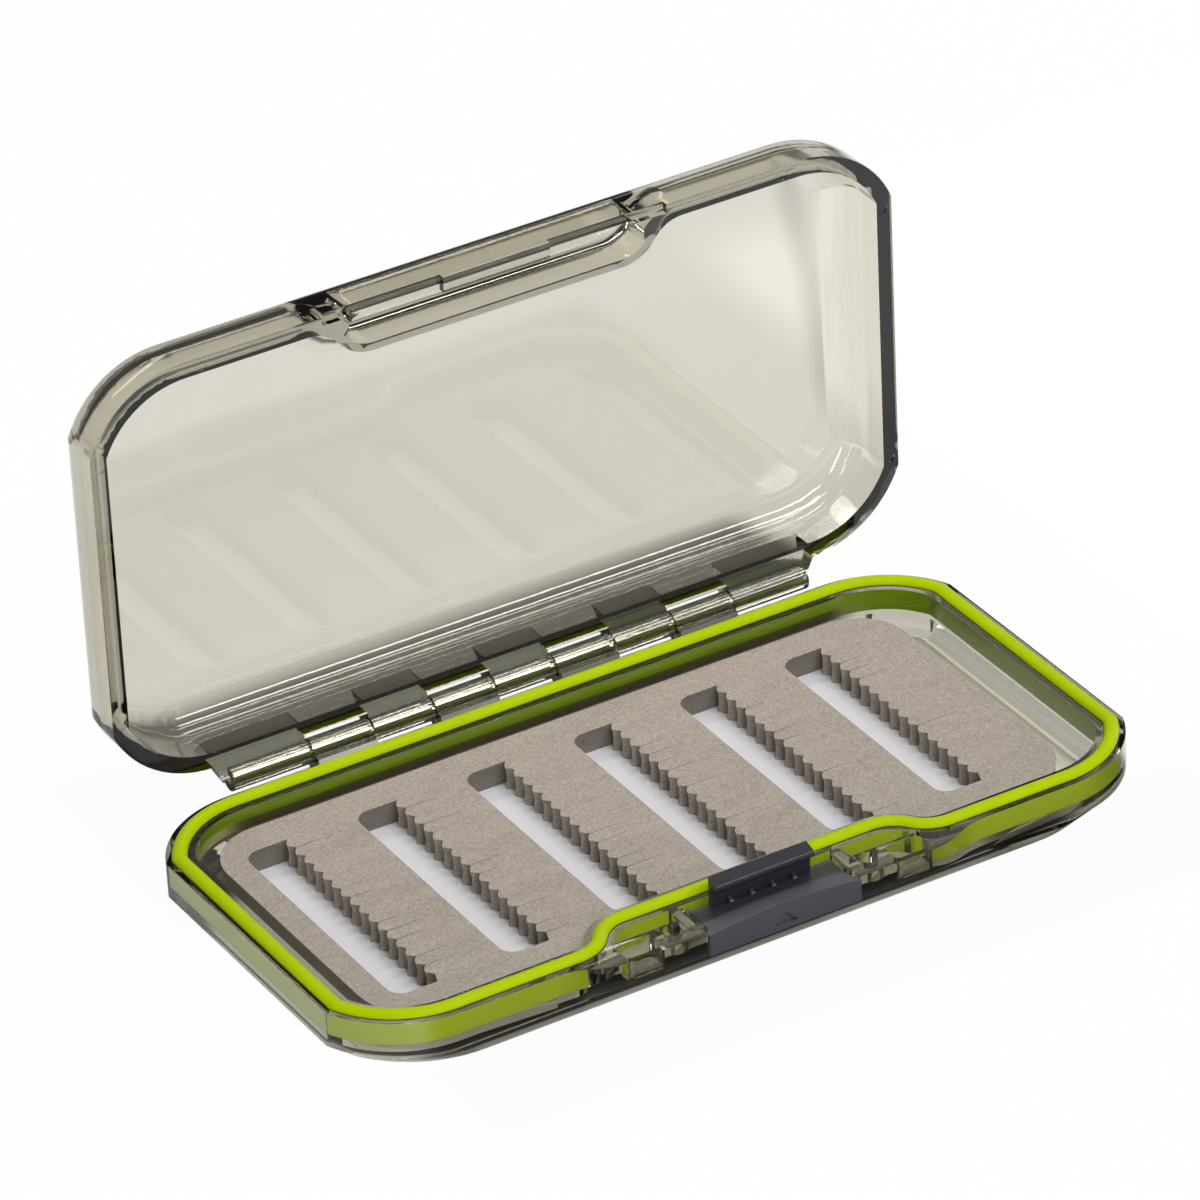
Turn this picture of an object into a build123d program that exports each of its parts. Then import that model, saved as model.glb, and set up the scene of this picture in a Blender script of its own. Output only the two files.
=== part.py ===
from build123d import *
import math
import os

# Flat clear fly box: a shallow tray with a rubber seal let into its rim, a domed lid
# on a rod hinge along the back, a push latch in front and a slotted foam insert.
# Millimetres.  X runs along the box, -Y is the latch side, +Z is up.
# The origin is the middle of the flat foot the box stands on.
# The lid is stored open; turned by open_angle about the hinge rod it lies on the seal.

# Outline shared by the tray and the lid
case_length = 155.0
case_width = 78.0
corner_radius = 19.8
corner_cut = 1.4           # how far each flat end cuts into the round corners

# Tray
base_height = 11.0
band_height = 6.5          # upright band under the rim
foot_end_setback = 5.5
foot_side_setback = 3.0
foot_radius = 22.0
foot_corner_cut = 3.5
foot_wall = 1.5
foot_recess = 2.2
rim_land = 1.0             # wall outside the seal groove
groove_width = 2.8
groove_depth = 4.4
inner_wall = 1.15          # wall between the groove and the pan
pan_depth = 7.3

# Seal, and the step it takes inwards behind the latch
seal_clearance = 0.05
seal_proud = 1.15
seal_round = 1.25
jog_half = 24.0            # half the straight part behind the latch
jog_run = 12.0             # length of each S bend
jog_shift = 6.2

# Foam insert on its white backing sheet
foam_left_gap = 8.9        # case end to the foam, on the left
foam_right_gap = 12.5      # and on the right, where a strip of floor stays clear
foam_side_gap = 7.0
foam_radius = 10.0
foam_thickness = 4.2
foam_gap = 1.0             # to the pan wall behind the latch
backing_thickness = 0.3
slot_count = 6
slot_first = 4.7           # foam edge to the first slot
slot_last = 15.2           # last slot to the foam's right edge
slot_width = 8.2
slot_margin = 1.35         # slot end to the foam's edge behind the latch
slot_round = 2.4

# Latch housing moulded on the front of the tray
housing_reach = 3.3
housing_half = 29.0
flare_run = 12.5
housing_face = 4.3         # height of its upright front
boss_hole_x = 19.0
boss_hole_back = 4.1       # hole centre behind the housing's front
boss_hole_radius = 1.6
boss_hole_depth = 3.0
pocket_inner = 22.4
pocket_outer = 29.4
pocket_front_wall = 1.0
pocket_width = 4.3
pocket_depth = 4.0
trough_inner = 16.4
trough_rib = 0.8           # between the pocket and the trough behind it
tab_x = 15.3
tab_length = 6.6
tab_width = 2.8
tab_setback = 5.0          # tab centre behind the housing's front
tab_above = 0.3
tab_below = 1.0

# Push latch
latch_half = 14.6
latch_side_gap = 0.2
latch_under_gap = 0.1
latch_travel = 1.0
latch_proud = 0.5          # in front of the housing
latch_plate = 1.4
latch_drop = 4.3
latch_shoulder = 0.3       # top of its ends below the rim
latch_crown = 1.2
latch_crest = 0.4          # flat top of the plate, before it slopes to the deck
deck_below = 0.65          # deck's top below the rim
deck_thickness = 1.55
latch_stop_gap = 0.4
hook_half = 9.5
hook_wall = 1.0
hook_height = 4.65
hook_slope = 0.8
lip_reach = 1.5
lip_bottom = 2.9
lip_round = 0.45           # top of the lip's nose
lip_under_round = 0.25
gusset_count = 4
gusset_pitch = 4.08
gusset_width = 0.8
gusset_reach = 1.2
gusset_height = 0.9
mark_size = 3.2
mark_depth = 0.5

# Lid
lid_gap = 1.4              # closed lid's rim above the tray's rim
lid_depth = 12.5
lid_dome = 6.5
lid_skin = 1.5
lid_land = 3.0             # rim width, over the seal
lid_cove = 5.0
recess_land = 0.9          # lid wall left in front of the seal's middle
recess_wall = 1.7          # lid's front wall at the latch
recess_half = 28.5
recess_depth = 8.0
recess_round = 2.4
edge_half = 33.0
edge_raise = 1.1
catch_half = 10.3
catch_reach = 1.2
catch_height = 1.35
pin_mark_radius = 0.9      # shallow rounds left by the moulding pins on the rim
pin_mark_depth = 0.12
pin_mark_inset = 1.75
pin_mark_x = 56.0
pin_mark_y = 24.6

# Hinge
hinge_back = 3.0           # rod axis behind the case
hinge_above = 1.1          # rod axis above the tray's rim
barrel_radius = 2.2
knuckle_pitch = 11.94
knuckle_count = 7          # between the two long end knuckles
knuckle_gap = 0.4
end_knuckle = 15.2
end_flare = 2.5
rod_radius = 0.8
rod_clearance = 0.05
rod_inset = 0.6
open_angle = 90.0

# Derived places
rim_z = base_height
crease_z = rim_z - band_height
floor_z = rim_z - pan_depth
lid_z = rim_z + lid_gap
front_y = -case_width / 2
back_y = case_width / 2
seal_half = groove_width / 2
seal_inset = rim_land + seal_half
seal_jog_y = front_y + seal_inset + jog_shift
housing_y = front_y - housing_reach
wall_y = seal_jog_y - seal_half - rim_land
plate_y = housing_y - latch_proud
hook_y = wall_y - latch_stop_gap - latch_travel
hook_front_y = hook_y - hook_wall
latch_top_z = rim_z - latch_shoulder
deck_top_z = rim_z - deck_below
deck_z = deck_top_z - deck_thickness
hinge_y = back_y + hinge_back
hinge_z = rim_z + hinge_above
rod_bore = rod_radius + rod_clearance
barrel_45 = barrel_radius * math.sqrt(0.5)
web_y = back_y - rim_land / 2
web_run = hinge_y + barrel_45 - web_y
hinge_axis = Axis((0, hinge_y, hinge_z), (1, 0, 0))


def plan(length, width, radius, cut):
    """Straight sides and round corners, cut short by flat ends."""
    with BuildSketch() as area:
        RectangleRounded(length + 2 * cut, width, radius)
        Rectangle(length, width, mode=Mode.INTERSECT)
    return area.sketch


def case_plan(inset):
    """Outline of the case, moved inwards by inset."""
    return plan(
        case_length - 2 * inset,
        case_width - 2 * inset,
        corner_radius - inset,
        corner_cut,
    )


def jog_notch(shift):
    """What the step behind the latch takes from the seal's outline, edge moved out by shift."""
    start = (-jog_half - jog_run, front_y + seal_inset - shift)
    turn = math.degrees(2 * math.atan2(jog_shift, jog_run))
    bend = (jog_run**2 + jog_shift**2) / (4 * jog_shift)
    with BuildSketch() as notch:
        with BuildLine():
            rise = JernArc(start, (1, 0), bend + shift, turn)
            level = JernArc(rise @ 1, rise % 1, bend - shift, -turn)
            Line(level @ 1, (0, (level @ 1).Y))
            Polyline(start, (start[0], 2 * front_y), (0, 2 * front_y))
            mirror(about=Plane.YZ)
        make_face()
    return notch.sketch


def seal_plan(shift):
    """Area inside the seal's centre line, with that line moved outwards by shift."""
    whole = case_plan(seal_inset - shift)
    notch = jog_notch(shift)
    with BuildSketch() as area:
        add(whole)
        add(notch, mode=Mode.SUBTRACT)
    return area.sketch


def housing_plan():
    """Latch housing in front of the tray, flared into it at both ends."""
    start = (-housing_half - flare_run, front_y)
    turn = math.degrees(2 * math.atan2(housing_reach, flare_run))
    bend = (flare_run**2 + housing_reach**2) / (4 * housing_reach)
    with BuildSketch() as area:
        with BuildLine():
            leave = JernArc(start, (1, 0), bend, -turn)
            join = JernArc(leave @ 1, leave % 1, bend, turn)
            Line(join @ 1, (0, (join @ 1).Y))
            Polyline(start, (start[0], front_y + rim_land), (0, front_y + rim_land))
            mirror(about=Plane.YZ)
        make_face()
    return area.sketch


def knuckle_edges(index):
    """Ends along X of hinge knuckle number index, counted from the left."""
    first = -knuckle_count * knuckle_pitch / 2
    low = first + (index - 1) * knuckle_pitch
    high = low + knuckle_pitch
    if index == 0:
        low = high - end_knuckle
    if index == knuckle_count + 1:
        high = low + end_knuckle
    outer_low = 0 if index == 0 else knuckle_gap / 2
    outer_high = 0 if index == knuckle_count + 1 else knuckle_gap / 2
    return low + outer_low, high - outer_high


outer_plan = case_plan(0)
foot_plan = plan(
    case_length - 2 * foot_end_setback,
    case_width - 2 * foot_side_setback,
    foot_radius,
    foot_corner_cut,
)
hollow_plan = plan(
    case_length - 2 * foot_end_setback - 2 * foot_wall,
    case_width - 2 * foot_side_setback - 2 * foot_wall,
    foot_radius - foot_wall,
    foot_corner_cut,
)
groove_outer = seal_plan(seal_half)
groove_inner = seal_plan(-seal_half)
pan_plan = seal_plan(-seal_half - inner_wall)
channel_wall = seal_plan(seal_half + rim_land)
latch_housing = housing_plan()

# Tray
with BuildPart() as base:
    with BuildSketch(Plane.XY):
        add(foot_plan)
    with BuildSketch(Plane.XY.offset(crease_z)):
        add(outer_plan)
    loft(ruled=True)
    with BuildSketch(Plane.XY.offset(crease_z)):
        add(outer_plan)
        add(latch_housing)
    extrude(amount=band_height)
    # The housing's underside slopes back to the crease
    with BuildSketch(Plane.YZ):
        with BuildLine():
            Polyline(
                (front_y, crease_z),
                (housing_y, rim_z - housing_face),
                (2 * housing_y, rim_z - housing_face),
                (2 * housing_y, crease_z),
                close=True,
            )
        make_face()
    extrude(amount=case_length / 2, both=True, mode=Mode.SUBTRACT)
    # Pan, seal groove and the hollow under the floor
    with BuildSketch(Plane.XY.offset(floor_z)):
        add(pan_plan)
    extrude(amount=pan_depth, mode=Mode.SUBTRACT)
    with BuildSketch(Plane.XY.offset(rim_z)):
        add(groove_outer)
        add(groove_inner, mode=Mode.SUBTRACT)
    extrude(amount=-groove_depth, mode=Mode.SUBTRACT)
    with BuildSketch(Plane.XY):
        add(hollow_plan)
    extrude(amount=foot_recess, mode=Mode.SUBTRACT)
    # Latch bay: an open front and a shelf for the deck to slide on
    bay_half = latch_half + latch_side_gap
    shelf_front_y = plate_y + latch_plate + latch_travel + latch_side_gap
    with BuildSketch(Plane.XY.offset(rim_z)):
        with Locations((0, (2 * housing_y + shelf_front_y) / 2)):
            Rectangle(2 * bay_half, shelf_front_y - 2 * housing_y)
    extrude(amount=-band_height, mode=Mode.SUBTRACT)
    with BuildSketch(Plane.XY.offset(deck_z - latch_under_gap)):
        with Locations((0, (wall_y + shelf_front_y) / 2)):
            Rectangle(2 * bay_half, wall_y - shelf_front_y)
    extrude(amount=base_height, mode=Mode.SUBTRACT)
    # Moulding pockets, troughs and blind holes beside the latch
    pocket_y = housing_y + pocket_front_wall + pocket_width / 2
    trough_y = pocket_y + pocket_width / 2 + trough_rib
    with BuildSketch(Plane.XY.offset(rim_z)):
        with Locations(((pocket_inner + pocket_outer) / 2, pocket_y)):
            RectangleRounded(pocket_outer - pocket_inner, pocket_width, rim_land)
        with Locations(((trough_inner + pocket_outer) / 2, (trough_y + seal_jog_y) / 2)):
            Rectangle(pocket_outer - trough_inner, seal_jog_y - trough_y)
        add(channel_wall, mode=Mode.SUBTRACT)
        mirror(about=Plane.YZ)
    extrude(amount=-pocket_depth, mode=Mode.SUBTRACT)
    with BuildSketch(Plane.XY.offset(rim_z)):
        with Locations((boss_hole_x, housing_y + boss_hole_back), (-boss_hole_x, housing_y + boss_hole_back)):
            Circle(boss_hole_radius)
    extrude(amount=-boss_hole_depth, mode=Mode.SUBTRACT)
    # Tabs that hold the latch's deck down
    tab_y = housing_y + tab_setback
    with BuildSketch(Plane.XY.offset(rim_z - tab_below)):
        with Locations((tab_x, tab_y), (-tab_x, tab_y)):
            SlotOverall(tab_length, tab_width, rotation=90)
    extrude(amount=tab_below + tab_above)
    # Hinge knuckles between those of the lid
    for index in range(1, knuckle_count + 1, 2):
        low, high = knuckle_edges(index)
        with BuildSketch(Plane.YZ.offset(low)):
            with Locations((hinge_y, hinge_z)):
                Circle(barrel_radius)
            with BuildLine():
                Polyline(
                    (web_y, hinge_z),
                    (hinge_y, hinge_z),
                    (hinge_y + barrel_45, hinge_z - barrel_45),
                    (web_y, hinge_z - barrel_45 - web_run),
                    close=True,
                )
            make_face()
        extrude(amount=high - low)
    with BuildSketch(Plane.YZ.offset(-case_length / 2)):
        with Locations((hinge_y, hinge_z)):
            Circle(rod_bore)
    extrude(amount=case_length, mode=Mode.SUBTRACT)
base.part.label = "base_tray"

# Rubber seal, standing proud of the groove
seal_outer = seal_plan(seal_half - seal_clearance)
seal_inner = seal_plan(-seal_half + seal_clearance)
with BuildPart() as seal:
    with BuildSketch(Plane.XY.offset(rim_z - groove_depth)):
        add(seal_outer)
        add(seal_inner, mode=Mode.SUBTRACT)
    extrude(amount=groove_depth + seal_proud)
    fillet(seal.faces().sort_by(Axis.Z)[-1].outer_wire().edges(), radius=seal_round)
seal.part.label = "gasket"

# Foam insert with its hook slots, on a white sheet
foam_left = case_length / 2 - foam_left_gap
foam_right = case_length / 2 - foam_right_gap
foam_length = foam_left + foam_right
foam_width = case_width - 2 * foam_side_gap
foam_x = (foam_right - foam_left) / 2
slot_pitch = (foam_length - slot_first - slot_last - slot_width) / (slot_count - 1)
slot_length = -2 * (seal_jog_y + seal_half + inner_wall + foam_gap + slot_margin)
foam_z = floor_z + backing_thickness
foam_limit = seal_plan(-seal_half - inner_wall - foam_gap)
with BuildSketch() as foam_area:
    with Locations((foam_x, 0)):
        RectangleRounded(foam_length, foam_width, foam_radius)
    add(foam_limit, mode=Mode.INTERSECT)
with BuildPart() as backing:
    with BuildSketch(Plane.XY.offset(floor_z)):
        add(foam_area.sketch)
    extrude(amount=backing_thickness)
backing.part.label = "foam_backing"
slot_x = slot_first + slot_width / 2 - foam_left
with BuildPart() as foam:
    with BuildSketch(Plane.XY.offset(foam_z)):
        add(foam_area.sketch)
        with Locations([(slot_x + index * slot_pitch, 0) for index in range(slot_count)]):
            RectangleRounded(slot_width, slot_length, slot_round, mode=Mode.SUBTRACT)
    extrude(amount=foam_thickness)
foam.part.label = "foam_insert"

# Push latch: face plate, deck and hook in one moulding
with BuildPart() as latch:
    with BuildSketch(Plane.XZ.offset(-plate_y)) as crowned:
        with BuildLine():
            ThreePointArc(
                (-latch_half, latch_top_z),
                (0, latch_top_z + latch_crown),
                (latch_half, latch_top_z),
            )
            Polyline(
                (latch_half, latch_top_z),
                (latch_half, rim_z - latch_drop),
                (-latch_half, rim_z - latch_drop),
                (-latch_half, latch_top_z),
            )
        make_face()
    extrude(amount=-latch_crest)
    # The crowned plate slopes back to the flat deck in front of the hook
    with BuildSketch(Plane.XZ.offset(-plate_y - latch_crest)):
        add(crowned.sketch)
    with BuildSketch(Plane.XZ.offset(-hook_front_y)):
        with BuildLine():
            ThreePointArc(
                (-latch_half, deck_top_z),
                (0, deck_top_z + latch_under_gap),
                (latch_half, deck_top_z),
            )
            Polyline(
                (latch_half, deck_top_z),
                (latch_half, rim_z - latch_drop),
                (-latch_half, rim_z - latch_drop),
                (-latch_half, deck_top_z),
            )
        make_face()
    loft(ruled=True)
    with BuildSketch(Plane.XY.offset(deck_z)):
        with Locations((0, (hook_front_y + hook_y) / 2)):
            Rectangle(2 * latch_half, hook_y - hook_front_y)
    extrude(amount=deck_thickness)
    # Clear the underside back to the face plate
    under_y = plate_y + latch_plate
    with BuildSketch(Plane.XY.offset(deck_z)):
        with Locations((0, (under_y + back_y) / 2)):
            Rectangle(4 * latch_half, back_y - under_y)
    extrude(amount=-base_height, mode=Mode.SUBTRACT)
    # Hook with its overhanging lip
    nose_y = hook_front_y - lip_reach
    with BuildSketch(Plane.YZ):
        with BuildLine():
            Polyline(
                (hook_y, deck_top_z - latch_under_gap),
                (hook_y, rim_z + hook_height),
                (nose_y, rim_z + hook_height - hook_slope),
                (nose_y, rim_z + lip_bottom),
                (hook_front_y, rim_z + lip_bottom),
                (hook_front_y, deck_top_z - latch_under_gap),
                close=True,
            )
        make_face()
    extrude(amount=hook_half, both=True)
    nose = latch.edges().filter_by(lambda edge: abs(edge.center().Y - nose_y) < 0.01).sort_by(Axis.Z)
    fillet(nose[-1], radius=lip_round)
    nose = latch.edges().filter_by(lambda edge: abs(edge.center().Y - nose_y) < 0.01).sort_by(Axis.Z)
    fillet(nose[0], radius=lip_under_round)
    # Gussets at the foot of the hook
    with BuildSketch(Plane.YZ):
        with BuildLine():
            Polyline(
                (hook_front_y, deck_top_z + gusset_height),
                (hook_front_y, deck_z + deck_thickness / 2),
                (hook_front_y - gusset_reach, deck_z + deck_thickness / 2),
                (hook_front_y - gusset_reach, deck_top_z),
                close=True,
            )
        make_face()
    gusset = extrude(amount=gusset_width / 2, both=True, mode=Mode.PRIVATE)
    with GridLocations(gusset_pitch, 1, gusset_count, 1):
        add(gusset)
    # Room for the tray's tabs, over the whole travel
    with BuildSketch(Plane.XY.offset(rim_z - tab_below - latch_under_gap)):
        with Locations((tab_x, tab_y - latch_travel / 2), (-tab_x, tab_y - latch_travel / 2)):
            SlotOverall(
                tab_length + latch_travel + 2 * latch_side_gap,
                tab_width + 2 * latch_side_gap,
                rotation=90,
            )
    extrude(amount=base_height, mode=Mode.SUBTRACT)
    # Arrow let into the face plate
    with BuildSketch(Plane.XZ.offset(-plate_y)):
        with Locations((0, rim_z - latch_drop / 2)):
            Triangle(a=mark_size * 1.4, b=mark_size, c=mark_size, align=(Align.CENTER, Align.CENTER))
    extrude(amount=-mark_depth, mode=Mode.SUBTRACT)
latch.part.label = "push_latch"

# Lid, modelled closed
cavity_plan = seal_plan(seal_inset - lid_land)
recess_plan_limit = seal_plan(recess_land)
with BuildPart() as cavity:
    with BuildSketch(Plane.XY.offset(lid_z)):
        add(cavity_plan)
    extrude(amount=lid_depth - lid_skin)
    fillet(cavity.faces().sort_by(Axis.Z)[-1].edges(), radius=lid_cove)
recess_front_y = front_y + recess_wall
with BuildPart() as lid:
    with BuildSketch(Plane.XY.offset(lid_z)):
        add(outer_plan)
    extrude(amount=lid_depth)
    fillet(lid.faces().sort_by(Axis.Z)[-1].edges(), radius=lid_dome)
    add(cavity.part, mode=Mode.SUBTRACT)
    # Recess that takes the latch's hook
    with BuildSketch(Plane.XY.offset(lid_z)):
        with Locations((0, (recess_front_y + seal_jog_y) / 2)):
            RectangleRounded(2 * recess_half, seal_jog_y - recess_front_y, recess_round)
        add(recess_plan_limit, mode=Mode.SUBTRACT)
    extrude(amount=recess_depth, mode=Mode.SUBTRACT)
    # Raised edge at the latch, left at full height behind the hook's lip
    with BuildSketch(Plane.XY.offset(lid_z)):
        with Locations((0, front_y + recess_wall / 2)):
            Rectangle(2 * edge_half, recess_wall)
            Rectangle(2 * catch_half, recess_wall, mode=Mode.SUBTRACT)
    extrude(amount=edge_raise, mode=Mode.SUBTRACT)
    with BuildSketch(Plane.XY.offset(lid_z)):
        with Locations((0, recess_front_y + catch_reach / 2)):
            Rectangle(2 * catch_half, catch_reach)
    extrude(amount=catch_height)
    # Moulding pin marks on the rim
    pin_side_x = case_length / 2 - pin_mark_inset
    with BuildSketch(Plane.XY.offset(lid_z)):
        with Locations(
            (pin_mark_x, front_y + pin_mark_inset),
            (-pin_mark_x, front_y + pin_mark_inset),
            (pin_side_x, pin_mark_y),
            (pin_side_x, -pin_mark_y),
            (-pin_side_x, pin_mark_y),
            (-pin_side_x, -pin_mark_y),
        ):
            Circle(pin_mark_radius)
    extrude(amount=pin_mark_depth, mode=Mode.SUBTRACT)
    # Hinge knuckles with gussets on the back wall
    for index in range(0, knuckle_count + 2, 2):
        low, high = knuckle_edges(index)
        with BuildSketch(Plane.YZ.offset(low)):
            with Locations((hinge_y, hinge_z)):
                Circle(barrel_radius)
        extrude(amount=high - low)
        flare_low = end_flare if index == 0 else 0
        flare_high = end_flare if index == knuckle_count + 1 else 0
        with BuildSketch(Plane.YZ.offset(low - flare_low)):
            with BuildLine():
                Polyline(
                    (web_y, lid_z),
                    (hinge_y, lid_z),
                    (hinge_y + barrel_45, hinge_z + barrel_45),
                    (web_y, hinge_z + barrel_45 + web_run),
                    close=True,
                )
            make_face()
        extrude(amount=high - low + flare_low + flare_high)
    # The end gussets narrow towards the rod
    flare_x = -knuckle_edges(0)[0]
    with BuildSketch(Plane.XY.offset(lid_z)):
        with BuildLine():
            Polyline(
                (flare_x + end_flare, back_y),
                (flare_x, hinge_y + barrel_radius),
                (flare_x + 2 * end_flare, hinge_y + barrel_radius),
                (flare_x + 2 * end_flare, back_y),
                close=True,
            )
        make_face()
        mirror(about=Plane.YZ)
    extrude(amount=lid_depth, mode=Mode.SUBTRACT)
    with BuildSketch(Plane.YZ.offset(-case_length / 2)):
        with Locations((hinge_y, hinge_z)):
            Circle(rod_bore)
    extrude(amount=case_length, mode=Mode.SUBTRACT)
open_lid = lid.part.rotate(hinge_axis, -open_angle)
open_lid.label = "lid_shell"

# Hinge rod
rod_half = -knuckle_edges(0)[0] - rod_inset
with BuildPart() as rod:
    with BuildSketch(Plane.YZ.offset(-rod_half)):
        with Locations((hinge_y, hinge_z)):
            Circle(rod_radius)
    extrude(amount=2 * rod_half)
rod.part.label = "hinge_rod"

os.makedirs("parts", exist_ok=True)
export_step(base.part, "parts/base_tray.step")
export_step(seal.part, "parts/gasket.step")
export_step(backing.part, "parts/foam_backing.step")
export_step(foam.part, "parts/foam_insert.step")
export_step(latch.part, "parts/push_latch.step")
export_step(open_lid, "parts/lid_shell.step")
export_step(rod.part, "parts/hinge_rod.step")
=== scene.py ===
"""Finished look of a clear fly box: smoke shells, lime seal, slotted foam and push latch."""

import math
import random

import bmesh
import bpy
from bpy.props import FloatProperty, FloatVectorProperty, IntProperty, PointerProperty
from bpy.types import Operator, Panel, PropertyGroup
from mathutils import Matrix, Vector


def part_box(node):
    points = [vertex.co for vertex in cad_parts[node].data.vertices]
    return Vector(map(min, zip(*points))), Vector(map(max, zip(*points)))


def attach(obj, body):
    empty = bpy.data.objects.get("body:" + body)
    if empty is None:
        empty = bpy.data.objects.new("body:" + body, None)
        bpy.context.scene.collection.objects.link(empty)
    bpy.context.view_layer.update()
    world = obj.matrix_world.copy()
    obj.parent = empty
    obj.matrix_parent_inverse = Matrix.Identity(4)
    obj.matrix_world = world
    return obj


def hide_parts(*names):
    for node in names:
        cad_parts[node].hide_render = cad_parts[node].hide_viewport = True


bl_info = {
    "name": "Fly Box",
    "version": (1, 0, 0),
    "blender": (4, 5, 0),
    "location": "3D View > Sidebar > Fly Box",
    "description": "Dresses a clear hinged fly box with its seal, foam, latch and studio",
    "category": "Object",
}

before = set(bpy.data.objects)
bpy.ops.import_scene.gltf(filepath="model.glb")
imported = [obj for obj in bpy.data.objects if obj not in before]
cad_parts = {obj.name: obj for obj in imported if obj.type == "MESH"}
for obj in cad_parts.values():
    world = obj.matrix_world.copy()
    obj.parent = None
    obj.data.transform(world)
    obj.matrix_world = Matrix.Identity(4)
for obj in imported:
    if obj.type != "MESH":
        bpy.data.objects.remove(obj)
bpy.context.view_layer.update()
TRAY_LOW, TRAY_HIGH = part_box("base_tray")
SEAL_LOW, SEAL_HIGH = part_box("gasket")
FOAM_LOW, FOAM_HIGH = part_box("foam_insert")

MM = 0.001
WELD = 0.002 * MM          # points closer than this are one point
SAME_LEVEL = 0.001 * MM    # heights closer than this are one height
QUARTER = math.pi / 2

# Saw teeth, as shares of their pitch along the slot and of their depth across it
TIP_ALONG = 0.43
NOTCH_ALONG, NOTCH_ACROSS = 0.76, 0.42
FIRST_NOTCH = 0.3 * MM     # from the first tip to the end of the slot's straight run
# Hook slits, cut at some teeth's roots
SEED = 7
SLIT_SHARE = 0.3
SLIT_REACH = (3.5, 8.0)    # shortest and longest, in millimetres
SLIT_END, SLIT_MOUTH = 0.06 * MM, 0.13 * MM
WALL_CUTS = 5              # rows of points that let a cut wall bow

# Sockets of the Mix node when it mixes colours
MIX_LOW, MIX_HIGH, MIX_RESULT = 6, 7, 2

# Painted shadows of the box on the paper, which show through the clear plastic and hardly by
# themselves:
# west, east, south and north sides and soft edge in millimetres, and how dark the zone is
FLOOR_ZONES = (
    (-58, 60, -15, 40, 6, 0.85),     # under the back half of the tray
    (74, 75.5, -22, 36, 1, 0.8),     # under its right wall
    (-62, 84, -56, -38, 7, 1.0),     # along its front wall
    (50, 84, -44, -31, 8, 1.0),      # by its right front corner
)
# Painted shadow behind the hinge: west, east, south, north and soft edge in millimetres
HINGE_ZONE = (-74, 62, 22, 72, 8)    # behind the hinge
HINGE_FADE = (40, 72, 0.15)          # that zone is paler from here to there, by this much
# Wide soft painted light and shade on the paper: start and end in millimetres, and by how much
FAR_DARK = (280, 460, 0.72)          # darker far behind the box
NEAR_DIM = (95, 175, 0.06)           # a little darker near the box
SIDE_GLOW = ((106, 126), (185, 150), 0.28, 0.84)    # paler past the right end, over a base
# A narrow slanting shade behind the lid: its two sides across x - slant * y, its start
# along y, and its depth
SHADE_SLANT = 0.5
SLANT_SHADE = ((45.5, 51), (56, 51), (98, 118), 0.27)

# Lamps: name, place, aim, width and height in metres, setting of the power and its share
LAMPS = (
    ("key_0", (0.25, -1.02, 1.01), (0.25, 0, 0), 1.2, 0.15, "key_power", 0.5),
    ("key_1", (0.25, -0.36, 1.30), (0.25, 0, 0), 1.2, 0.15, "key_power", 0.5),
    ("front_strip", (-0.8, -1.3, 0.4), (0, 0, 0.05), 0.16, 0.8, "front_power", 1),
    ("corner_card", (0.88, 1.08, 0.29), (0, 0, 0.2), 0.62, 0.54, "card_power", 1),
    ("back_strip", (0.3, 0.9, 1.0), (0, 0, 0.03), 2.2, 0.12, "strip_power", 1),
    ("left_strip", (-1.1, 0.1, 0.5), (0, 0, 0.03), 0.15, 0.9, "fill_power", 1),
    ("right_strip", (1.1, 0.3, 0.5), (0, 0, 0.03), 0.15, 0.9, "fill_power", 1),
)


# ---------------------------------------------------------------- settings

class CaseSettings(PropertyGroup):
    """Outline of the case and its clear plastic."""
    length: FloatProperty(
        name="Length", description="Long side of the case", unit="LENGTH",
        default=TRAY_HIGH.x - TRAY_LOW.x)
    width: FloatProperty(
        name="Width", description="Short side of the case", unit="LENGTH", default=78 * MM)
    corner_radius: FloatProperty(
        name="Corner radius", description="Round of each corner", unit="LENGTH",
        default=19.8 * MM)
    corner_cut: FloatProperty(
        name="Corner cut", description="How far the flat ends cut into the corners",
        unit="LENGTH", default=1.4 * MM)
    tint: FloatVectorProperty(
        name="Tint", description="Colour of a thin wall seen against white",
        subtype="COLOR", size=3, min=0, max=1, default=(0.915, 0.893, 0.80))
    smoke: FloatVectorProperty(
        name="Smoke", description="Colour the plastic lets through", subtype="COLOR",
        size=3, min=0, max=1, default=(0.60, 0.58, 0.50))
    smoke_density: FloatProperty(
        name="Smoke density", description="How fast the plastic darkens with depth, per metre",
        default=125, min=0)
    tray_shadow: FloatVectorProperty(
        name="Tray shadow", description="Light that gets through one face of the tray",
        subtype="COLOR", size=3, min=0, max=1, default=(0.88, 0.87, 0.82))
    lid_shadow: FloatVectorProperty(
        name="Lid shadow", description="Light that gets through one face of the lid",
        subtype="COLOR", size=3, min=0, max=1, default=(0.74, 0.72, 0.66))
    edge_round: FloatProperty(
        name="Edge round", description="Round on the shells' moulded edges", unit="LENGTH",
        default=0.12 * MM)
    sharp_angle: FloatProperty(
        name="Sharp angle", description="Edges steeper than this stay crisp",
        subtype="ANGLE", default=math.radians(24))


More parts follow.
